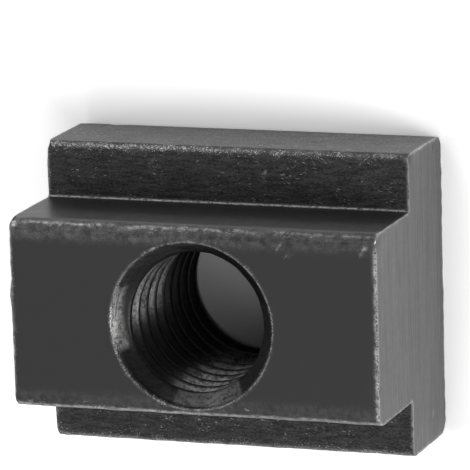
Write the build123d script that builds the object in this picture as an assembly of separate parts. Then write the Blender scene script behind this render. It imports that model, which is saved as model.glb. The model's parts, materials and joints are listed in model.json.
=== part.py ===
from build123d import *
import os
from math import sqrt

# T-slot nut: one block of steel that slides along a T-shaped slot, where the bolt or stud
# screwed into it draws its foot up under the slot's lips. Millimetres. X runs along the slot,
# Y across it and Z up through the slot's mouth. The origin is the middle of the foot's underside.

# The T-shaped bar
length = 27.5           # along the slot, from one cut end to the other
foot_width = 22.2       # the wide part, caught under the slot's lips
foot_height = 8.0
tongue_width = 13.9     # the narrow part, with 0.1 to spare in a 14 mm slot
tongue_height = 8.0     # above the foot's shoulders
foot_top_r = 0.6        # rounding of the foot's two upper long edges
foot_bottom_r = 1.0     # rounding of its two lower ones
tongue_top_r = 1.0      # rounding of the tongue's two top edges
root_r = 0.3            # fillet where the tongue rises from each shoulder

# The tapped hole, M12 x 1.75
thread_d = 12.0
thread_pitch = 1.75
hole_x = -0.15          # the hole stands a little off the middle of the block
hole_y = -0.3
top_mouth = 1.05        # depth of the 45 degree countersink in the tongue's top
foot_mouth = 0.3        # depth of the one in the foot's underside

total_height = foot_height + tongue_height
# A 60 degree thread is cut 5/8 of the height of its sharp triangle deep, and the hole's plain
# wall stands at the crests that this leaves.
thread_depth = 5 / 8 * thread_pitch * sqrt(3) / 2
hole_r = thread_d / 2 - thread_depth


def t_bar():
    """The T section, each corner with its own radius, extruded both ways along X."""
    foot = foot_width / 2
    tongue = tongue_width / 2
    right_side = [
        (foot, 0, foot_bottom_r),
        (foot, foot_height, foot_top_r),
        (tongue, foot_height, root_r),
        (tongue, total_height, tongue_top_r),
    ]
    left_side = [(-y, z, radius) for y, z, radius in reversed(right_side)]
    corners = right_side + left_side
    outline = FilletPolyline(
        [(y, z) for y, z, radius in corners],
        radius=[radius for y, z, radius in corners],
        close=True,
    )
    section = Plane.YZ * make_face(outline)
    return extrude(section, amount=length / 2, both=True)


def tapped_hole():
    """The cutter for the hole: a plain wall that opens in a cone at each end, turned about Z."""
    past = 1.0          # how far the cutter runs out of the block, each cone widening with it
    bottom = -past
    top = total_height + past
    half_section = Polyline(
        (0, bottom),
        (hole_r + foot_mouth + past, bottom),
        (hole_r, foot_mouth),
        (hole_r, total_height - top_mouth),
        (hole_r + top_mouth + past, top),
        (0, top),
        close=True,
    )
    cutter = revolve(Plane.XZ * make_face(half_section), Axis.Z)
    return Pos(hole_x, hole_y) * cutter


os.makedirs("parts", exist_ok=True)
t_slot_nut = t_bar() - tapped_hole()
t_slot_nut.label = "t_slot_nut"
export_step(t_slot_nut, "parts/t_slot_nut.step")
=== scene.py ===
import json
import math

import bmesh
import bpy
import numpy as np
from mathutils import Euler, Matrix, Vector


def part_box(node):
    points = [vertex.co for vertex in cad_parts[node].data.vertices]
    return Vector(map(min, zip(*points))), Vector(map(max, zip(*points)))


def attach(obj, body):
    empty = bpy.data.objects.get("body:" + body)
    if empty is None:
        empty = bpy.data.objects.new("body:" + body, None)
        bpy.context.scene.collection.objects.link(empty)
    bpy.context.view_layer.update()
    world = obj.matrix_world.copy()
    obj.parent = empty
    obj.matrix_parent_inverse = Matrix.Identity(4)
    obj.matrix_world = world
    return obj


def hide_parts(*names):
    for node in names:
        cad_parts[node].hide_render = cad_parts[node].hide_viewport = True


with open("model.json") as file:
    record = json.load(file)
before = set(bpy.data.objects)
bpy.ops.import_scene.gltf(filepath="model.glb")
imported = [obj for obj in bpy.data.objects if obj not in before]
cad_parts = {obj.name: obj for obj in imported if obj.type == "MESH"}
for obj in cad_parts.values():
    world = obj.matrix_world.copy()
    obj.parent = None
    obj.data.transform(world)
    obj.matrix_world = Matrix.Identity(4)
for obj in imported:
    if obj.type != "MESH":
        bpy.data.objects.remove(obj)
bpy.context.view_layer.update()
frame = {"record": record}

# ---------------------------------------------------------------------------
# Sizes in millimetres. The main ones come from the frame.
# ---------------------------------------------------------------------------
MM = 0.001
mount = {m["name"]: m for m in frame["record"]["mounts"]}
HALF_LENGTH, HALF_FOOT, HEIGHT = (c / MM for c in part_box("t_slot_nut")[1])
HALF_TONGUE = mount["tongue_side_back"]["pos_m"][1] / MM
SHOULDER = mount["shoulder_back"]["pos_m"][2] / MM
HOLE_X, HOLE_Y = (c / MM for c in mount["thread"]["pos_m"][:2])
CREST_R = mount["thread"]["dims"]["r_mm"]

TONGUE_ROUND = 1.0      # rounding of the tongue's top long edges
FOOT_TOP_ROUND = 0.6
FOOT_BOTTOM_ROUND = 1.0
ROOT_ROUND = 0.3        # fillet between tongue and shoulder
TOP_MOUTH = 1.05        # countersink depths, both at 45 degrees
FOOT_MOUTH = 0.3
PITCH = 1.75
ROOT_R = 6.0            # bottom of the thread's groove
THREAD_START = 0.27     # how far round the thread starts, in turns

FLAT_TOP = HALF_TONGUE - TONGUE_ROUND               # half of the top's flat part
FOOT_FLAT = HALF_FOOT - FOOT_TOP_ROUND              # how far out the shoulder is flat
ROOT_EDGE = HALF_TONGUE + ROOT_ROUND                # where the shoulder's flat part starts
RIM_R = CREST_R + TOP_MOUTH

# How finely the surface is divided
BLOCK = 7.6             # half of the stretch along X that the hole's rings fill
BLOCK_STEPS = 64
END_STEPS = 28
INNER_STEPS = 44
ROUND_STEPS = 11        # across a rounding of the tongue and, below it, across a shoulder
SMALL_ROUND_STEPS = 9   # across the roots and the foot's bottom rounding
FOOT_TOP_STEPS = 8
TONGUE_SIDE_STEPS = 24
FOOT_SIDE_STEPS = 22
RING_STEPS = 14
WALL_ROWS = 180
CROWDING = 1.4          # power that draws steps together at the hole and at the ends
MERGE = 0.002           # points nearer than this are one
SHARP_ANGLE = 40        # an edge that bends by more degrees is shaded as sharp


# ---------------------------------------------------------------------------
# The nut's surface, as patches that share their edges
# ---------------------------------------------------------------------------
def arc(centre, radius, start, stop, steps):
    """Points of an arc: the centre plus the radius times the cosine and sine of an angle."""
    turn = np.radians(np.linspace(start, stop, steps + 1))
    return np.column_stack([centre[0] + radius * np.cos(turn), centre[1] + radius * np.sin(turn)])


def line(start, stop, steps):
    """Points of a straight line: its ends mixed by an even share."""
    share = np.linspace(0, 1, steps + 1)[:, None]
    return np.array(start) * (1 - share) + np.array(stop) * share


def chain(*runs):
    """Runs laid end to end, each after the first without its first number or point."""
    return np.concatenate([runs[0]] + [r[1:] for r in runs[1:]])


def surface(x, y, z):
    """A grid of points from coordinates that share out over it."""
    return np.stack(np.broadcast_arrays(x, y, z), axis=-1)


def over_top(along, across):
    """The tongue's top: across runs over the flat and, past it, round each long edge by an
    angle of the distance over the radius."""
    bend = np.clip((np.abs(across) - FLAT_TOP) / TONGUE_ROUND, 0, math.pi / 2)
    y = np.sign(across) * (np.minimum(np.abs(across), FLAT_TOP) + TONGUE_ROUND * np.sin(bend))
    return surface(along, y, HEIGHT - TONGUE_ROUND * (1 - np.cos(bend)))


def loop(xs, across):
    """A rectangle's edge in turn: its right side, far side, left side and near side."""
    right = np.column_stack([np.full(len(across), xs[-1]), across])[:-1]
    far = np.column_stack([xs[::-1], np.full(len(xs), across[-1])])[:-1]
    left = np.column_stack([np.full(len(across), xs[0]), across[::-1]])[:-1]
    near = np.column_stack([xs, np.full(len(xs), across[0])])[:-1]
    return np.concatenate([right, far, left, near])


def rings(inner, outer):
    """Rings from an inner loop to an outer one: the two mixed by a share that crowds inwards."""
    share = np.linspace(0, 1, RING_STEPS + 1)[:, None, None] ** CROWDING
    return inner * (1 - share) + outer * share


def thread_radius(turn, z):
    """Radius of the thread: the distance from the groove's middle, taken on a right-hand helix,
    lowers it from the groove's flat bottom along 30 degree flanks to the crest. The mean of a
    few neighbours rounds the corners."""
    lead = z / PITCH - turn / (2 * math.pi) - THREAD_START
    away = np.abs(lead - np.round(lead)) * PITCH
    shifts = np.linspace(-0.06, 0.06, 5)
    flanks = [ROOT_R - (np.abs(away + s) - PITCH / 16) * math.sqrt(3) for s in shifts]
    return np.mean([np.clip(f, CREST_R, ROOT_R) for f in flanks], axis=0)


# The flats that the countersink's cutter left: where each starts, in degrees round the hole,
# how far its middle leans out, as a share of the mouth's depth, and how strong a highlight is
# painted on it as bare steel
CUTTER_FLATS = [
    (20, 0.01, 0.0), (98, 0.0, 0.06), (154, 0.05, 0.57), (201, -0.05, 0.0), (254, 0.04, 0.28),
    (277, 0.0, 0.42), (308, 0.0, 0.04),
]


def flats(turn, column):
    """One column of the list of flats at each angle round the hole: every flat's own value,
    changing over to the next within two degrees."""
    degrees = (np.degrees(turn) - CUTTER_FLATS[0][0]) % 360
    starts = np.array([flat[0] - CUTTER_FLATS[0][0] for flat in CUTTER_FLATS] + [360])
    values = np.array([flat[column] for flat in CUTTER_FLATS] + [CUTTER_FLATS[0][column]])
    knots = np.column_stack([starts[1:] - 1, starts[1:] + 1]).ravel()
    levels = np.column_stack([values[:-1], values[1:]]).ravel()
    return np.interp(degrees, knots, levels)


def hole_radius(turn, z):
    """Radius of the hole: the largest of the thread and the two 45 degree mouths. The upper
    mouth bellies in or out on each of the cutter's flats, by half a sine wave of its depth, and
    has a turned groove as deep as the highlight painted on that flat is strong."""
    mouth = z - (HEIGHT - TOP_MOUTH)
    share = np.clip(mouth / TOP_MOUTH, 0, 1)
    upper = CREST_R + mouth + flats(turn, 1) * np.sin(math.pi * share)
    upper = upper + 0.15 * flats(turn, 2) * bell(share - 0.56, 0.06)
    lower = CREST_R + FOOT_MOUTH - z
    return np.maximum(thread_radius(turn, z), np.maximum(upper, lower))


def side_profiles():
    """The tongue's side and the foot's side as (y, z), both from the top down: a rounding, a
    straight line and a rounding."""
    tongue_side = chain(
        arc((FLAT_TOP, HEIGHT - TONGUE_ROUND), TONGUE_ROUND, 90, 0, ROUND_STEPS),
        line((HALF_TONGUE, HEIGHT - TONGUE_ROUND), (HALF_TONGUE, SHOULDER + ROOT_ROUND),
             TONGUE_SIDE_STEPS),
        arc((ROOT_EDGE, SHOULDER + ROOT_ROUND), ROOT_ROUND, 180, 270, SMALL_ROUND_STEPS))
    foot_side = chain(
        arc((FOOT_FLAT, SHOULDER - FOOT_TOP_ROUND), FOOT_TOP_ROUND, 90, 0, FOOT_TOP_STEPS),
        line((HALF_FOOT, SHOULDER - FOOT_TOP_ROUND), (HALF_FOOT, FOOT_BOTTOM_ROUND),
             FOOT_SIDE_STEPS),
        arc((HALF_FOOT - FOOT_BOTTOM_ROUND, FOOT_BOTTOM_ROUND), FOOT_BOTTOM_ROUND, 0, -90,
            SMALL_ROUND_STEPS))
    return tongue_side, foot_side


def upper_rim(turn):
    """The upper rim at each angle round the hole, as (x, way across the top), with its radius
    and its drop. Where it reaches the tongue's rounding, it follows the cone down: the drop
    sets the radius and the radius the drop, over and over until they agree."""
    drop = 0.0
    for _ in range(20):
        radius = RIM_R - drop
        y = HOLE_Y + radius * np.sin(turn)
        past = np.clip((np.abs(y) - FLAT_TOP) / TONGUE_ROUND, 0, 1)
        drop = TONGUE_ROUND * (1 - np.sqrt(1 - past**2))
    across = np.where(past > 0, FLAT_TOP + np.arcsin(past) * TONGUE_ROUND, np.abs(y))
    rim = np.column_stack([HOLE_X + radius * np.cos(turn), np.sign(y) * across])
    return rim, radius, drop


def nut_patches():
    """Every patch of the nut's surface as (grid of points, whether its last column meets its
    first, material number)."""
    ends = np.linspace(0, 1, END_STEPS + 1) ** CROWDING
    left = -HALF_LENGTH + (HALF_LENGTH + HOLE_X - BLOCK) * ends
    right = HALF_LENGTH - (HALF_LENGTH - HOLE_X - BLOCK) * ends[::-1]
    middle = np.linspace(HOLE_X - BLOCK, HOLE_X + BLOCK, BLOCK_STEPS + 1)
    xs = chain(left, middle, right)

    # Ways across, from side to side: close together at the corners
    inner = np.sin(np.linspace(-math.pi / 2, math.pi / 2, INNER_STEPS + 1))
    outwards = 1 - np.linspace(1, 0, ROUND_STEPS + 1) ** 1.7
    bend = np.linspace(0, math.pi / 2, ROUND_STEPS + 1) * TONGUE_ROUND
    across_top = chain(-(FLAT_TOP + bend[::-1]), inner * FLAT_TOP, FLAT_TOP + bend)
    over_shoulder = ROOT_EDGE + (FOOT_FLAT - ROOT_EDGE) * outwards
    across_foot = chain(-over_shoulder[::-1], inner * ROOT_EDGE, over_shoulder) / FOOT_FLAT

    tongue_side, foot_side = side_profiles()
    shoulder = np.column_stack([over_shoulder, np.full(ROUND_STEPS + 1, SHOULDER)])
    y, z = chain(tongue_side[ROUND_STEPS:], shoulder, foot_side).T[:, :, None]
    patches = [(surface(xs, side * y, z), False, 0) for side in (1, -1)]

    underside = across_foot * (HALF_FOOT - FOOT_BOTTOM_ROUND)
    for part in (left, right):
        patches.append((over_top(part[None, :], across_top[:, None]), False, 0))
        patches.append((surface(part[None, :], underside[:, None], 0.0), False, 0))

    # The hole's rims, the rings round them and the wall between them
    edge = loop(middle, across_top)
    turn = np.arctan2(edge[:, 1] - HOLE_Y, edge[:, 0] - HOLE_X)
    rim, rim_r, rim_drop = upper_rim(turn)
    top_rings = rings(rim, edge)
    patches.append((over_top(top_rings[..., 0], top_rings[..., 1]), True, 0))

    foot_r = CREST_R + FOOT_MOUTH
    foot_rim = np.column_stack([HOLE_X + foot_r * np.cos(turn), HOLE_Y + foot_r * np.sin(turn)])
    foot_rings = rings(foot_rim, loop(middle, underside))
    patches.append((surface(foot_rings[..., 0], foot_rings[..., 1], 0.0), True, 0))

    rows = np.linspace(0, HEIGHT, WALL_ROWS + 1)[:, None]
    z = rows - rim_drop * np.clip((rows - HEIGHT) / (2 * TOP_MOUTH) + 1, 0, 1)
    r = hole_radius(turn[None, :], z)
    r[0], r[-1] = foot_r, rim_r
    patches.append((surface(HOLE_X + r * np.cos(turn), HOLE_Y + r * np.sin(turn), z), True, 2))

    # The cut ends: each row runs straight from side to side
    for end in (-HALF_LENGTH, HALF_LENGTH):
        for (w, z), spread in ((foot_side.T, across_foot), (tongue_side.T, inner)):
            patches.append((surface(end, spread * w[:, None], z[:, None]), False, 1))
    return patches


def squares(shape, wraps, first):
    """The four-cornered faces of a grid of points that are numbered from first."""
    rows, columns = shape
    number = first + np.arange(rows * columns).reshape(rows, columns)
    if wraps:
        number = np.concatenate([number, number[:, :1]], axis=1)
    corners = [number[:-1, :-1], number[:-1, 1:], number[1:, 1:], number[1:, :-1]]
    return np.stack(corners, axis=-1).reshape(-1, 4)


def closed_mesh(name, patches):
    """The patches as one closed mesh in millimetres, with their shared points merged and every
    face turned outwards."""
    points, faces, kinds, first = [], [], [], 0
    for grid, wraps, kind in patches:
        points.append(grid.reshape(-1, 3))
        faces.append(squares(grid.shape[:2], wraps, first))
        kinds.append(np.full(len(faces[-1]), kind, dtype=np.int32))
        first += len(points[-1])
    mesh = bpy.data.meshes.new(name)
    mesh.from_pydata(np.concatenate(points), [], np.concatenate(faces))
    mesh.polygons.foreach_set("material_index", np.concatenate(kinds))
    work = bmesh.new()
    work.from_mesh(mesh)
    bmesh.ops.remove_doubles(work, verts=work.verts, dist=MERGE)
    bmesh.ops.recalc_face_normals(work, faces=work.faces)
    work.to_mesh(mesh)
    work.free()
    return mesh


def numbers(items, field, width):
    """One field of every vertex, as an array."""
    values = np.empty(len(items) * width)
    items.foreach_get(field, values)
    return values.reshape(-1, width)


# ---------------------------------------------------------------------------
# Wear: what the saw, years in a drawer and a few slots did to the shape
# ---------------------------------------------------------------------------
# How far each kind of wear moves the surface, in millimetres
FACE_ROLL = 0.004
EDGE_CHATTER = 0.012    # short waves along the long roundings
EDGE_WANDER = 0.014     # and long ones
ROOT_CHATTER = 0.010
HOLE_CHATTER = 0.007
BURR = 0.035
BURR_CURL = 0.12        # where the burr was bent over
BROKEN_EDGE = 0.05      # how low the top is worn where it meets the cut ends


def ripple(points, wavelength, seed):
    """Smooth noise of about unit size: the sum of 24 sine waves in random directions, with
    lengths near the wavelength, over the root of half their number."""
    draw = np.random.default_rng(seed)
    ways = draw.normal(size=(24, 3))
    ways /= np.linalg.norm(ways, axis=1)[:, None] * draw.uniform(0.6, 1.7, (24, 1)) * wavelength
    waves = np.sin(points @ (ways.T * 2 * math.pi) + draw.uniform(0, 6.283, 24))
    return waves.sum(1) / 12**0.5


def bell(distance, width):
    """A bump that is one at no distance and fades away over the width."""
    return np.exp(-((distance / width) ** 2))


def gap_to_line(points, y, z):
    """Distance from the two lines along X at plus and minus y and at height z."""
    return np.hypot(np.abs(points[:, 1]) - y, points[:, 2] - z)


def place_gap(points, place):
    """Distance from one place."""
    return np.linalg.norm(points - np.array(place), axis=1)


# Knocks in the edges: where each is, how wide and how deep
DENTS = [
    ((-10.9, 11.1, 0.2), 0.50, 0.26), ((-13.75, 11.0, 0.2), 0.50, 0.14),
    ((-13.75, 6.95, 15.1), 0.55, 0.10), ((-13.75, 10.9, 7.9), 0.45, 0.16),
    ((13.6, -4.4, 16.0), 0.35, 0.10), ((13.75, 6.3, 15.9), 0.45, 0.14),
    ((-8.2, 10.9, 7.9), 0.30, 0.06), ((-3.5, 10.95, 7.8), 0.30, 0.08),
    ((2.3, 6.8, 15.8), 0.35, 0.06), ((-5.5, 6.8, 15.8), 0.40, 0.06),
    ((6.0, 6.7, 15.85), 0.30, 0.05), ((8.0, -6.8, 15.8), 0.35, 0.06),
    ((-11.8, -6.6, 15.9), 0.35, 0.07), ((11.0, -10.9, 7.8), 0.35, 0.06),
    ((13.75, 10.6, 2.0), 0.30, 0.10), ((13.7, 10.8, 7.8), 0.40, 0.10),
    ((-13.7, -10.8, 7.8), 0.45, 0.12), ((-13.7, 2.6, 16.0), 0.30, 0.08),
]


# Places that something hard rubbed down to the steel: where, and how wide
NICKS = [
    ((6.5, 5.75, 16.0), 0.12), ((7.3, 5.25, 16.0), 0.10), ((12.9, 5.9, 16.0), 0.16),
    ((12.7, 5.5, 16.0), 0.10), ((-13.4, 6.5, 15.8), 0.22), ((13.6, 10.75, 7.9), 0.18),
    ((4.9, 11.1, 6.2), 0.12), ((9.0, 11.1, 6.9), 0.10), ((-1.6, -5.9, 16.0), 0.12),
    ((-5.7, 9.9, 8.0), 0.09), ((2.9, 9.3, 8.0), 0.08), ((-12.6, -6.4, 15.8), 0.14),
    ((3.9, -6.2, 16.0), 0.10), ((13.75, -9.0, 3.0), 0.10), ((13.75, 3.5, 2.0), 0.08),
]


def inside(points):
    """How far in each point lies from the T's outline, seen along X: the smaller of the way to
    its sides and the way to the face above or below."""
    y, z = np.abs(points[:, 1]), points[:, 2]
    in_tongue = np.minimum(HALF_TONGUE - y, HEIGHT - z)
    over_shoulder = np.hypot(np.maximum(y - HALF_TONGUE, 0), np.maximum(SHOULDER - z, 0))
    under_shoulder = np.where(y > HALF_TONGUE, SHOULDER - z, over_shoulder + HALF_TONGUE - y)
    in_foot = np.minimum(np.minimum(HALF_FOOT - y, z), np.maximum(under_shoulder, SHOULDER - z))
    return np.maximum(np.where(z > SHOULDER, in_tongue, in_foot), 0)


def round_hole(points):
    """Each point's angle round the hole, and its distance from the hole's middle line."""
    away = points[:, 0] - HOLE_X, points[:, 1] - HOLE_Y
    return np.arctan2(away[1], away[0]), np.hypot(*away)


def window(values, low, high, soft):
    """One between two values, fading to nothing past them by an S-shaped step."""
    return 0.5 * (np.tanh((values - low) / soft) - np.tanh((values - high) / soft))


def painted_sheen(points):
    """Where highlight is painted in the hole as bare steel: each of the countersink's flats by its
    own value, and the flanks of the thread that face up, on two stretches of its turns that
    catch the lamps."""
    turn, _ = round_hole(points)
    z = points[:, 2]
    degrees = np.degrees(turn) % 360
    lead = z / PITCH - turn / (2 * math.pi) - THREAD_START
    facing_up = window(lead - np.round(lead), -0.42, -0.02, 0.03)
    mouth = window(z, HEIGHT - TOP_MOUTH, HEIGHT + 1, 0.05)
    # painted highlight on the upward thread flanks, in the two stretches that catch the lamps
    upper_left = 0.8 * window(degrees, 128, 186, 7) * window(z, 7.0, 13.6, 0.5)
    near_side = window(degrees, 246, 300, 6) * window(z, 3.0, 14.4, 1.5)
    thread_sheen = facing_up * np.maximum(upper_left, near_side)
    return np.clip(mouth * flats(turn, 2) + (1 - mouth) * thread_sheen, 0, 1)


def worn(points, outward):
    """The points moved by wear: faces roll a little, the long roundings wander, the hole is rough
    where highlight is painted on it, the cut ends carry a ragged burr, the top is worn down
    beside them, and knocks push the edges in."""
    x, _, z = points.T
    in_hole = round_hole(points)[1] < RIM_R + 0.02
    tongue_edge = gap_to_line(points, FLAT_TOP + 0.7 * TONGUE_ROUND, HEIGHT - 0.3 * TONGUE_ROUND)
    foot_edge = gap_to_line(points, HALF_FOOT - 0.2, SHOULDER - 0.2)
    root = gap_to_line(points, HALF_TONGUE, SHOULDER)
    rounding = np.maximum(bell(tongue_edge, 0.7), bell(foot_edge, 0.5))

    push = FACE_ROLL * ripple(points, 6, 1)
    chatter = EDGE_CHATTER * ripple(points, 0.8, 2)
    push += rounding * (chatter + EDGE_WANDER * ripple(points, 3.5, 3))
    push += bell(root, 0.35) * ROOT_CHATTER * ripple(points, 0.7, 4)
    push *= ~in_hole * np.clip(z / 2, 0, 1)
    push += in_hole * painted_sheen(points) * HOLE_CHATTER * ripple(points, 0.4, 6)
    for place, width, depth in DENTS:
        push -= depth * bell(place_gap(points, place), width)
    moved = points + outward * push[:, None]

    # The burr stands out past the saw's cut, along the edges of both ends
    end_gap = HALF_LENGTH - np.abs(x)
    to_edge = inside(points)
    lip = bell(end_gap, 0.05) * bell(to_edge, 0.10)
    ragged = np.clip(0.5 + 0.4 * ripple(points, 0.9, 5), 0, 1.2)
    moved[:, 0] += np.sign(x) * lip * BURR * ragged
    curl = place_gap(points, (-HALF_LENGTH, 1.3, HEIGHT))
    moved[:, 0] -= BURR_CURL * bell(curl, 0.7) * lip

    broken = (z > HEIGHT - 0.1) * bell(np.hypot(end_gap, to_edge), 0.10)
    moved[:, 2] -= broken * BROKEN_EDGE * np.clip(1 + 0.5 * ripple(points, 0.6, 7), 0.2, 2)
    return moved


def wear_marks(points):
    """How worn each point is, and how much painted light and shade it carries, each from nothing
    to one: ridge and zone, where bare specks close up along an edge and thin out about it; haze,
    where steel shows through thin black; root, a painted highlight of bare steel on the line
    between tongue and shoulder; coarse, the skin left as drawn; a painted shade at the foot of
    the tongue's sides; and a painted highlight of bare steel in the hole."""
    x, y, z = points.T
    tongue_edge = gap_to_line(points, FLAT_TOP + 0.75 * TONGUE_ROUND, HEIGHT - 0.35 * TONGUE_ROUND)
    tongue_brow = gap_to_line(points, FLAT_TOP + 0.05, HEIGHT)
    foot_edge = gap_to_line(points, HALF_FOOT - 0.2, SHOULDER - 0.15)
    end_gap = HALF_LENGTH - np.abs(x)
    cut_edge = np.hypot(end_gap, inside(points))
    rim_gap = np.abs(round_hole(points)[1] - RIM_R) + np.maximum(HEIGHT - 0.3 - z, 0)

    to_left = 0.5 - 0.5 * np.tanh((x - 0.5) / 4)
    tongue_share = np.where(y > 0, 0.62 + 0.38 * to_left, 0.62 + 0.25 * to_left)
    foot_share = np.where(y > 0, 0.55 + 0.45 * to_left, 0.5)
    cut_share = np.where(z > HEIGHT - 0.8, 1.0, np.where(z > SHOULDER + 0.6, 0.55, 0.8))
    rim = bell(rim_gap, 0.07)
    # The right end's top edge gets more bare steel than the rest: partly wear, partly a painted
    # highlight where the lamps on the right catch it.
    lit_top_end = (z > HEIGHT - 0.8) & (x > 0)
    cut_ridge = np.where(lit_top_end, 1.3, 0.6) * bell(cut_edge, 0.14)
    cut_haze = np.where(lit_top_end, 1.5 * bell(cut_edge, 0.17), 0.95 * bell(cut_edge, 0.10))
    ridges = [0.55 * bell(tongue_edge, 0.16) * tongue_share, bell(foot_edge, 0.22) * foot_share,
              cut_ridge * cut_share, 0.9 * rim]
    zones = [0.4 * bell(tongue_edge, 0.7) * tongue_share, bell(foot_edge, 0.55) * foot_share,
             0.7 * bell(cut_edge, 0.3) * cut_share, 0.9 * bell(rim_gap, 0.15)]
    by_brow = bell(np.hypot(np.maximum(np.abs(y) - FLAT_TOP - 0.3, 0),
                            np.minimum(np.abs(y) - FLAT_TOP, 0)), 0.4) * (z > HEIGHT - 0.6)
    brow_share = np.where(y > 0, 0.15 * tongue_share, 0.06)
    hazes = [0.9 * bell(tongue_edge, 0.12) * tongue_share, by_brow * brow_share,
             0.25 * bell(foot_edge, 0.16) * foot_share, cut_haze * cut_share, 0.65 * rim]
    for place, width in NICKS:
        hazes.append(bell(place_gap(points, place), width))
    on_shoulder = window(np.abs(y), HALF_TONGUE, HALF_FOOT - 0.3, 0.15) * window(z, 7.6, 8.4, 0.1)
    on_foot_side = z < SHOULDER - 0.4
    on_tongue_side = 0.3 * window(z, SHOULDER + 0.3, HEIGHT - 0.8, 0.2)
    return {"ridge": np.maximum.reduce(ridges), "zone": np.maximum.reduce(zones),
            "haze": np.maximum.reduce(hazes),
            # painted highlight: a line of bare steel just above each root fillet
            "root": bell(gap_to_line(points, HALF_TONGUE + 0.07, SHOULDER + 0.07), 0.09),
            "coarse": np.maximum.reduce([on_shoulder, on_foot_side, on_tongue_side]),
            # painted shade: darker towards the foot of the tongue's sides
            "corner_shade": window(z, SHOULDER, HEIGHT - 3.6, 0.5) * (np.abs(y) < HALF_TONGUE + 0.2),
            # painted highlight in the hole, laid as bare steel
            "painted_sheen": painted_sheen(points)}


nut_mesh = closed_mesh("nut", nut_patches())
points = numbers(nut_mesh.vertices, "co", 3)
outward = numbers(nut_mesh.vertices, "normal", 3)
for name, values in wear_marks(points).items():
    nut_mesh.attributes.new(name, "FLOAT", "POINT").data.foreach_set("value", values)
nut_mesh.vertices.foreach_set("co", (worn(points, outward) * MM).ravel())
nut_mesh.update()
nut_mesh.polygons.foreach_set("use_smooth", np.ones(len(nut_mesh.polygons), bool))
nut_mesh.set_sharp_from_angle(angle=math.radians(SHARP_ANGLE))
nut = bpy.data.objects.new("nut", nut_mesh)
bpy.context.scene.collection.objects.link(nut)
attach(nut, "root")
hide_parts("t_slot_nut")


# ---------------------------------------------------------------------------
# Materials
# ---------------------------------------------------------------------------
OXIDE_TONE = 0.028      # how light the black skin is
# how much the painted shade darkens the foot of the tongue's sides
PAINTED_SHADE_DARKENS = 0.017
# the sawn ends' black, lighter than the skin's partly for the sawn finish and partly as painted
# sheen
SAWN_AND_SHEEN_TONE = 0.046
# the hole's black, darker than the skin's as painted shade
HOLE_SHADE_TONE = 0.009
STEEL_TONE = 0.50       # how light the steel is where it shows through thin black
# the grey steel painted as highlight in the hole
HOLE_SHEEN_STEEL = 0.38
OXIDE_ROUGH = 0.4
STEEL_ROUGH = 0.40


class Bench:
    """Lays nodes out in one tree and joins them. A number, colour or vector given where a
    socket is asked for is written into that socket."""

    def __init__(self, tree):
        self.tree = tree

    def add(self, kind, sockets=None, **settings):
        node = self.tree.nodes.new("ShaderNode" + kind)
        for key, value in settings.items():
            setattr(node, key, value)
        for key, value in (sockets or {}).items():
            if isinstance(value, bpy.types.NodeSocket):
                self.tree.links.new(value, node.inputs[key])
            else:
                node.inputs[key].default_value = value
        return node

    def math(self, operation, a, b=0.0, c=0.0, clamp=False):
        return self.add("Math", {0: a, 1: b, 2: c}, operation=operation, use_clamp=clamp).outputs[0]

    def step(self, value, low, high, to_low=0.0, to_high=1.0):
        """An S-shaped step from to_low to to_high as the value goes from low to high."""
        return self.add("MapRange", {"Value": value, "From Min": low, "From Max": high,
                                     "To Min": to_low, "To Max": to_high},
                        interpolation_type="SMOOTHSTEP").outputs["Result"]

    def noise(self, vector, size, detail=2.0, distortion=0.0):
        """Soft noise about one half, with grains of the given size in millimetres."""
        return self.add("TexNoise", {"Vector": vector, "Scale": 1 / size, "Detail": detail,
                                     "Distortion": distortion}).outputs["Fac"]

    def stretch(self, vector, factors):
        """The vector with each axis scaled by its factor."""
        return self.add("VectorMath", {0: vector, 1: factors}, operation="MULTIPLY").outputs[0]

    def mix(self, share, a, b):
        """A colour between a and b, which the node takes in its sockets 6 and 7."""
        return self.add("Mix", {"Factor": share, 6: a, 7: b}, data_type="RGBA").outputs[2]

    def blend(self, share, a, b):
        """A number between a and b, which the node takes in its sockets 2 and 3."""
        return self.add("Mix", {0: share, 2: a, 3: b}, data_type="FLOAT").outputs[0]

    def mark(self, name):
        """One of the piece's own wear attributes."""
        return self.add("Attribute", attribute_name=name).outputs["Fac"]

    def millimetres(self):
        """The piece's own coordinates in millimetres."""
        here = self.add("TexCoord").outputs["Object"]
        return self.add("VectorMath", {0: here, "Scale": 1 / MM}, operation="SCALE").outputs[0]


def node_group(name, inputs, outputs):
    """An empty shader node group with named sockets, and its bench, inlet and outlet."""
    tree = bpy.data.node_groups.new(name, "ShaderNodeTree")
    for socket, kind, value in inputs:
        item = tree.interface.new_socket(socket, in_out="INPUT", socket_type="NodeSocket" + kind)
        if value is not None:
            item.default_value = value
    for socket, kind in outputs:
        tree.interface.new_socket(socket, in_out="OUTPUT", socket_type="NodeSocket" + kind)
    return Bench(tree), tree.nodes.new("NodeGroupInput").outputs, tree.nodes.new("NodeGroupOutput")


def placed(bench, group, **sockets):
    """One use of a node group in a material, with its own values."""
    node = bench.add("Group", node_tree=group)
    for key, value in sockets.items():
        key = key.replace("_", " ")
        if isinstance(value, bpy.types.NodeSocket):
            bench.tree.links.new(value, node.inputs[key])
        else:
            node.inputs[key].default_value = value
    return node.outputs


def grey(value, warmth=0.0):
    """A grey, or with some warmth a little redder and less blue."""
    return (value * (1 + warmth), value, value * (1 - warmth), 1)


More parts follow.
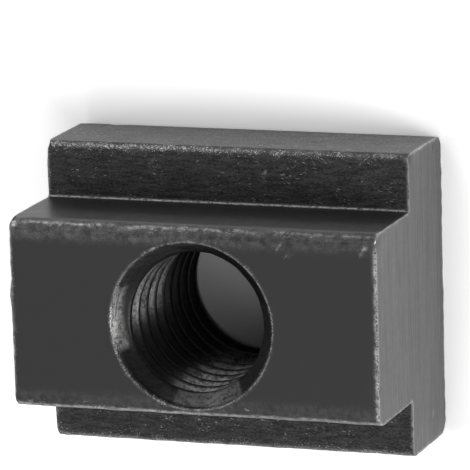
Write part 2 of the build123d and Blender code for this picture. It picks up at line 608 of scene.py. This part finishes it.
def make_bare_steel():
    """Where the black has rubbed off: specks that close up along the ridges on a finely bruised
    ground, each with its own tone, and a soft haze of steel through thin black."""
    b, given, out = node_group("bare_steel", [
        ("Vector", "Vector", None), ("Ridge", "Float", 0.0), ("Zone", "Float", 0.0),
        ("Haze", "Float", 0.0), ("Grain", "Float", 0.09)],
        [("Bare", "Float"), ("Colour", "Color"), ("Height", "Float")])
    fine = b.add("TexNoise", {"Vector": given["Vector"], "Detail": 2.0,
                              "Scale": b.math("DIVIDE", 1.0, given["Grain"])}).outputs["Fac"]
    broad = b.noise(given["Vector"], 0.9)
    worth = b.math("MULTIPLY_ADD", given["Ridge"], 0.30, b.math("MULTIPLY", given["Zone"], 0.17))
    worth = b.math("MULTIPLY_ADD", b.math("SUBTRACT", fine, 0.5), 1.5, worth)
    worth = b.math("MULTIPLY_ADD", b.math("SUBTRACT", broad, 0.5), 0.7, worth)
    specks = b.math("MULTIPLY", b.step(worth, 0.28, 0.44), b.step(given["Zone"], 0.02, 0.3))
    patchy = b.math("SUBTRACT", b.noise(given["Vector"], 0.45, 2.0), 0.5)
    patchy = b.math("MULTIPLY_ADD", b.math("SUBTRACT", fine, 0.5), 0.85, patchy)
    haze = b.math("MULTIPLY", given["Haze"], b.math("MULTIPLY_ADD", patchy, 3.4, 0.75), clamp=True)
    speck_tone = b.step(b.noise(given["Vector"], 0.14, 1.0), 0.36, 0.66, 0.08, 0.50)
    tone = b.blend(specks, STEEL_TONE, speck_tone)
    colour = b.add("CombineColor", {0: b.math("MULTIPLY", tone, 1.01), 1: tone,
                                    2: b.math("MULTIPLY", tone, 0.99)})
    height = b.math("MULTIPLY", b.math("MULTIPLY", fine, given["Zone"]), 0.030)
    b.tree.links.new(b.math("MAXIMUM", specks, haze), out.inputs["Bare"])
    b.tree.links.new(colour.outputs[0], out.inputs["Colour"])
    b.tree.links.new(height, out.inputs["Height"])
    return b.tree


def make_oxide():
    """The black skin: an even tone with faint broad clouds, and a streaked, pitted, mottled
    grain where the bar's drawn surface was left."""
    b, given, out = node_group("black_oxide", [
        ("Vector", "Vector", None), ("Tone", "Float", OXIDE_TONE), ("Coarse", "Float", 0.0),
        ("Roughness", "Float", OXIDE_ROUGH)],
        [("Colour", "Color"), ("Roughness", "Float"), ("Height", "Float")])
    pebble = b.noise(b.stretch(given["Vector"], (0.45, 1.0, 1.0)), 0.10, 3.0, 0.5)
    cloud = b.noise(given["Vector"], 1.6, 2.0)
    grain = b.noise(given["Vector"], 0.08, 1.0)
    pits = b.step(b.noise(given["Vector"], 0.15, 1.0), 0.64, 0.70)
    streaks = b.noise(b.stretch(given["Vector"], (0.22, 1.0, 0.4)), 0.24, 2.0)
    mottle = b.math("MULTIPLY_ADD", b.math("SUBTRACT", streaks, 0.5), 0.75,
                    b.math("SUBTRACT", pebble, 0.5))
    swing = b.math("MULTIPLY", mottle, given["Coarse"])
    swing = b.math("MULTIPLY_ADD", swing, 4.4, b.math("MULTIPLY_ADD", cloud, 0.16, 0.92))
    swing = b.math("MULTIPLY_ADD", b.math("MULTIPLY", pits, given["Coarse"]), -0.7, swing)
    tone = b.math("MULTIPLY", given["Tone"], b.math("MAXIMUM", swing, 0.15))
    colour = b.add("CombineColor", {0: tone, 1: tone, 2: b.math("MULTIPLY", tone, 1.02)})
    rough = b.math("MULTIPLY_ADD", b.math("SUBTRACT", cloud, 0.5), 0.10, given["Roughness"])
    patches = b.math("MULTIPLY", b.math("SUBTRACT", pebble, 0.5), given["Coarse"])
    rough = b.math("MULTIPLY_ADD", patches, 0.7, rough)
    height = b.math("MULTIPLY_ADD", pebble, 0.040, b.math("MULTIPLY", pits, -0.012))
    height = b.math("MULTIPLY", height, given["Coarse"])
    height = b.math("MULTIPLY_ADD", grain, 0.0008, height)
    b.tree.links.new(colour.outputs[0], out.inputs["Colour"])
    b.tree.links.new(rough, out.inputs["Roughness"])
    b.tree.links.new(height, out.inputs["Height"])
    return b.tree


def make_tool_lines():
    """Fine lines that a tool left: noise on a vector that the material has drawn out along
    them, in a fine and a broad set."""
    b, given, out = node_group("tool_lines", [("Vector", "Vector", None), ("Size", "Float", 0.1)],
                               [("Lines", "Float")])
    per = b.math("DIVIDE", 1.0, given["Size"])
    fine = b.add("TexNoise", {"Vector": given["Vector"], "Scale": per, "Detail": 2.0})
    broad = b.add("TexNoise", {"Vector": given["Vector"], "Detail": 1.0,
                               "Scale": b.math("MULTIPLY", per, 0.3)})
    both = b.math("ADD", fine.outputs["Fac"], broad.outputs["Fac"])
    b.tree.links.new(b.math("MULTIPLY", both, 0.5), out.inputs["Lines"])
    return b.tree


def make_scuffs():
    """Short thin scratches in patches: noise that is drawn out along two ways, where it is
    highest, and only where a broad noise is high as well."""
    b, given, out = node_group("scuffs", [("Vector", "Vector", None), ("Size", "Float", 0.1)],
                               [("Marks", "Float")])
    per = b.math("DIVIDE", 1.0, given["Size"])
    marks = []
    for angle, limit in ((0.15, 0.67), (-0.5, 0.70)):
        turned = b.add("VectorRotate", {"Vector": given["Vector"], "Angle": angle},
                       rotation_type="Z_AXIS").outputs[0]
        drawn = b.stretch(turned, (0.26, 1.0, 1.0))
        noise = b.add("TexNoise", {"Vector": drawn, "Scale": per, "Detail": 1.0}).outputs["Fac"]
        marks.append(b.step(noise, limit, limit + 0.04))
    where = b.step(b.noise(given["Vector"], 1.4, 1.0), 0.50, 0.60)
    both = b.math("MAXIMUM", *marks)
    b.tree.links.new(b.math("MULTIPLY", both, where), out.inputs["Marks"])
    return b.tree


BARE_STEEL, OXIDE = make_bare_steel(), make_oxide()
TOOL_LINES, SCUFFS = make_tool_lines(), make_scuffs()


def finish(name, specular=0.4):
    """A new material, its bench and its shader."""
    material = bpy.data.materials.new(name)
    material.use_nodes = True
    shader = material.node_tree.nodes["Principled BSDF"]
    shader.inputs["Specular IOR Level"].default_value = specular
    return material, Bench(material.node_tree), shader


def dress(b, shader, colour, roughness, metallic, height):
    """Joins a finish to its shader. Heights are in millimetres."""
    bump = b.add("Bump", {"Height": height, "Distance": MM, "Strength": 1.0})
    for socket, value in (("Base Color", colour), ("Roughness", roughness),
                          ("Metallic", metallic), ("Normal", bump.outputs[0])):
        b.tree.links.new(value, shader.inputs[socket])


def worn_edges(b, here):
    """The bare steel along the nut's worn edges, by its own attributes."""
    return placed(b, BARE_STEEL, Vector=here, Ridge=b.mark("ridge"), Zone=b.mark("zone"),
                  Haze=b.mark("haze"))


def black_skin():
    """The bar's own skin: drawn along its length, worn along its edges, scuffed here and there,
    with a painted highlight of broken bare steel in each root and painted shade at the foot of
    the tongue's sides."""
    material, b, shader = finish("black_oxide_skin")
    here = b.millimetres()
    coarse = b.mark("coarse")
    # Darker towards the foot of the tongue's sides: painted shade.
    tone = b.math("MULTIPLY_ADD", b.mark("corner_shade"), -PAINTED_SHADE_DARKENS, OXIDE_TONE)
    skin = placed(b, OXIDE, Vector=here, Coarse=coarse, Tone=tone)
    worn_off = worn_edges(b, here)
    drawn = placed(b, TOOL_LINES, Vector=b.stretch(here, (0.06, 1.0, 1.0)), Size=0.10)["Lines"]
    scuffs = placed(b, SCUFFS, Vector=here, Size=0.09)["Marks"]
    scuffs = b.math("MULTIPLY", scuffs, b.math("MULTIPLY", coarse, 0.75))
    # The root's painted highlight, broken into dashes.
    broken = b.step(b.noise(here, 0.16, 1.0), 0.34, 0.48, 0.1, 0.8)
    painted_root_highlight = b.math("MULTIPLY", b.mark("root"), broken)
    bare = b.math("MAXIMUM", worn_off["Bare"], b.math("MAXIMUM", scuffs, painted_root_highlight))
    height = b.math("MULTIPLY_ADD", b.math("MULTIPLY", drawn, coarse), 0.045, skin["Height"])
    height = b.math("ADD", height, worn_off["Height"])
    colour = b.mix(bare, skin["Colour"], worn_off["Colour"])
    dress(b, shader, colour, b.blend(bare, skin["Roughness"], STEEL_ROUGH), bare, height)
    return material


def cut_end():
    """The sawn ends: lines across the bar, then blacked, with bright steel round the edge; their
    black is lighter than the skin's, partly for the sawn finish and partly as painted sheen.
    """
    material, b, shader = finish("cut_end")
    here = b.millimetres()
    sawn = placed(b, TOOL_LINES, Vector=b.stretch(here, (1.0, 0.03, 1.0)), Size=0.065)["Lines"]
    # Lighter than the skin: partly the sawn finish, partly painted sheen.
    tone = b.math("MULTIPLY_ADD", b.math("SUBTRACT", sawn, 0.5), 0.17, SAWN_AND_SHEEN_TONE)
    skin = placed(b, OXIDE, Vector=here, Coarse=0.22, Tone=tone)
    worn_off = worn_edges(b, here)
    height = b.math("MULTIPLY_ADD", sawn, 0.028, skin["Height"])
    height = b.math("ADD", height, worn_off["Height"])
    colour = b.mix(worn_off["Bare"], skin["Colour"], worn_off["Colour"])
    rough = b.blend(worn_off["Bare"], skin["Roughness"], STEEL_ROUGH)
    dress(b, shader, colour, rough, worn_off["Bare"], height)
    return material


def tapped_wall():
    """The hole: its black darker than the skin's as painted shade, turned and tapped round its
    middle, with grey bare steel painted as highlight on the cutter's flats and thread flanks
    that catch the lamps."""
    material, b, shader = finish("tapped_wall", specular=0.22)
    here = b.millimetres()
    sheen_share = b.mark("painted_sheen")
    # The hole's darker black is painted shade.
    skin = placed(b, OXIDE, Vector=here, Coarse=0.5, Tone=HOLE_SHADE_TONE, Roughness=0.34)
    turned = placed(b, TOOL_LINES, Vector=b.stretch(here, (0.25, 0.25, 1.0)), Size=0.07)["Lines"]
    rim = worn_edges(b, here)
    patchy = b.math("ADD", turned, b.math("SUBTRACT", b.noise(here, 0.22, 3.0, 0.5), 0.5))
    # Grey bare steel as painted highlight, patchy along the turning lines.
    sheen_steel = b.math("MULTIPLY", sheen_share, b.step(patchy, 0.30, 0.60, 0.25, 0.85))
    bare = b.math("MAXIMUM", rim["Bare"], sheen_steel)
    height = b.math("MULTIPLY_ADD", turned, 0.014, skin["Height"])
    height = b.math("MULTIPLY_ADD", b.math("MULTIPLY", patchy, sheen_share), 0.030, height)
    steel = b.mix(rim["Bare"], grey(HOLE_SHEEN_STEEL, 0.01), rim["Colour"])
    colour = b.mix(bare, skin["Colour"], steel)
    dress(b, shader, colour, b.blend(bare, skin["Roughness"], 0.42), bare, height)
    return material


for material in (black_skin(), cut_end(), tapped_wall()):
    nut_mesh.materials.append(material)

# ---------------------------------------------------------------------------
# Floor, light and camera
# ---------------------------------------------------------------------------
HALF_FLOOR = 1.5        # metres
FLOOR_DROP = 0.02       # how far the floor lies below the foot, in millimetres
PAPER_CASTS = 0.8       # how light the paper is for the light that it casts back
PAPER_SEEN = 1.1        # and for the eye and the reflections
PAPER_LIFT = 0.42       # how much it glows for them away from the nut
LAMP_DISTANCE = 0.5     # metres
SKY = 0.17
FOCAL_LENGTH = 379.2
CAMERA_TURN = (-12.483, 19.021, -1.577)             # degrees
CAMERA_AIM = (0.572, 4.715, 8.0)                    # millimetres
CAMERA_DISTANCE = 357.42

scene = bpy.context.scene
scene.view_settings.view_transform = "Standard"


def paper():
    """Pale paper. What the eye and the reflections see of it is brighter than what it casts back,
    and glows besides; near and under the nut the glow fades out, a painted shadow round it."""
    material, b, shader = finish("pale_paper", specular=0.0)
    path = b.add("LightPath").outputs
    seen = b.math("MAXIMUM", path["Is Camera Ray"], path["Is Glossy Ray"])
    seen = b.math("MAXIMUM", seen, path["Is Transmission Ray"])
    tone = b.mix(seen, grey(PAPER_CASTS), grey(PAPER_SEEN))
    b.tree.links.new(tone, shader.inputs["Base Color"])
    here = b.add("SeparateXYZ", {0: b.millimetres()}).outputs
    gap_x = b.math("SUBTRACT", b.math("ABSOLUTE", here["X"]), HALF_LENGTH)
    gap_y = b.math("SUBTRACT", b.math("ABSOLUTE", here["Y"]), HALF_FOOT - FOOT_BOTTOM_ROUND)
    # The glow fades from 4.5 mm out from the nut's foot to 3 mm inside it: a painted shadow round
    # the nut.
    beyond_painted_shadow = b.step(b.math("MAXIMUM", gap_x, gap_y), -3.0, 4.5)
    lift = b.math("MULTIPLY", b.math("MULTIPLY", beyond_painted_shadow, seen), PAPER_LIFT)
    b.tree.links.new(b.add("CombineColor", {0: lift, 1: lift, 2: lift}).outputs[0],
                     shader.inputs["Emission Color"])
    shader.inputs["Emission Strength"].default_value = 1.0
    shader.inputs["Roughness"].default_value = 1.0
    return material


floor_mesh = bpy.data.meshes.new("floor")
corners = [(-HALF_FLOOR, -HALF_FLOOR), (HALF_FLOOR, -HALF_FLOOR), (HALF_FLOOR, HALF_FLOOR),
           (-HALF_FLOOR, HALF_FLOOR)]
floor_mesh.from_pydata([(x, y, -FLOOR_DROP * MM) for x, y in corners], [], [(0, 1, 2, 3)])
floor_mesh.materials.append(paper())
floor = bpy.data.objects.new("floor", floor_mesh)
scene.collection.objects.link(floor)

world = bpy.data.worlds.new("studio")
scene.world = world
world.use_nodes = True
world.node_tree.nodes["Background"].inputs["Color"].default_value = (1, 1, 1, 1)
world.node_tree.nodes["Background"].inputs["Strength"].default_value = SKY


def direction(round_z, up):
    """The way to a lamp: its angle round Z from plus X and its angle above the floor."""
    a, e = math.radians(round_z), math.radians(up)
    return Vector((math.cos(a) * math.cos(e), math.sin(a) * math.cos(e), math.sin(e)))


def soft_box(name, round_z, up, size, radiance):
    """A rectangular lamp that faces the nut."""
    lamp_data = bpy.data.lights.new(name, "AREA")
    lamp_data.shape = "RECTANGLE"
    lamp_data.size, lamp_data.size_y = size
    lamp_data.energy = math.pi * size[0] * size[1] * radiance
    lamp = bpy.data.objects.new(name, lamp_data)
    lamp.location = direction(round_z, up) * LAMP_DISTANCE
    lamp.rotation_euler = direction(round_z, up).to_track_quat("Z", "Y").to_euler()
    scene.collection.objects.link(lamp)


soft_box("right_low", -14, 17, (0.20, 0.12), 19.0)
soft_box("right_high", -16, 43, (0.18, 0.16), 3.6)
soft_box("back_low", 124, 17, (0.20, 0.12), 3.2)
soft_box("back_high", 115, 40, (0.18, 0.16), 3.2)
soft_box("left", 180, 40, (0.25, 0.20), 2.7)
soft_box("front", 268, 40, (0.20, 0.20), 2.45)
soft_box("over_front_right", 315, 70, (0.25, 0.25), 1.54)
soft_box("over_front_left", 225, 70, (0.25, 0.25), 0.64)

lens = bpy.data.cameras.new("camera")
lens.sensor_width = 36
lens.lens = FOCAL_LENGTH
lens.clip_start, lens.clip_end = 0.01, 10
camera = bpy.data.objects.new("camera", lens)
camera.rotation_euler = Euler([math.radians(a) for a in CAMERA_TURN])
back_off = camera.rotation_euler.to_matrix() @ Vector((0, 0, CAMERA_DISTANCE)) * MM
camera.location = Vector(CAMERA_AIM) * MM + back_off
scene.collection.objects.link(camera)
scene.camera = camera

bpy.context.view_layer.update()
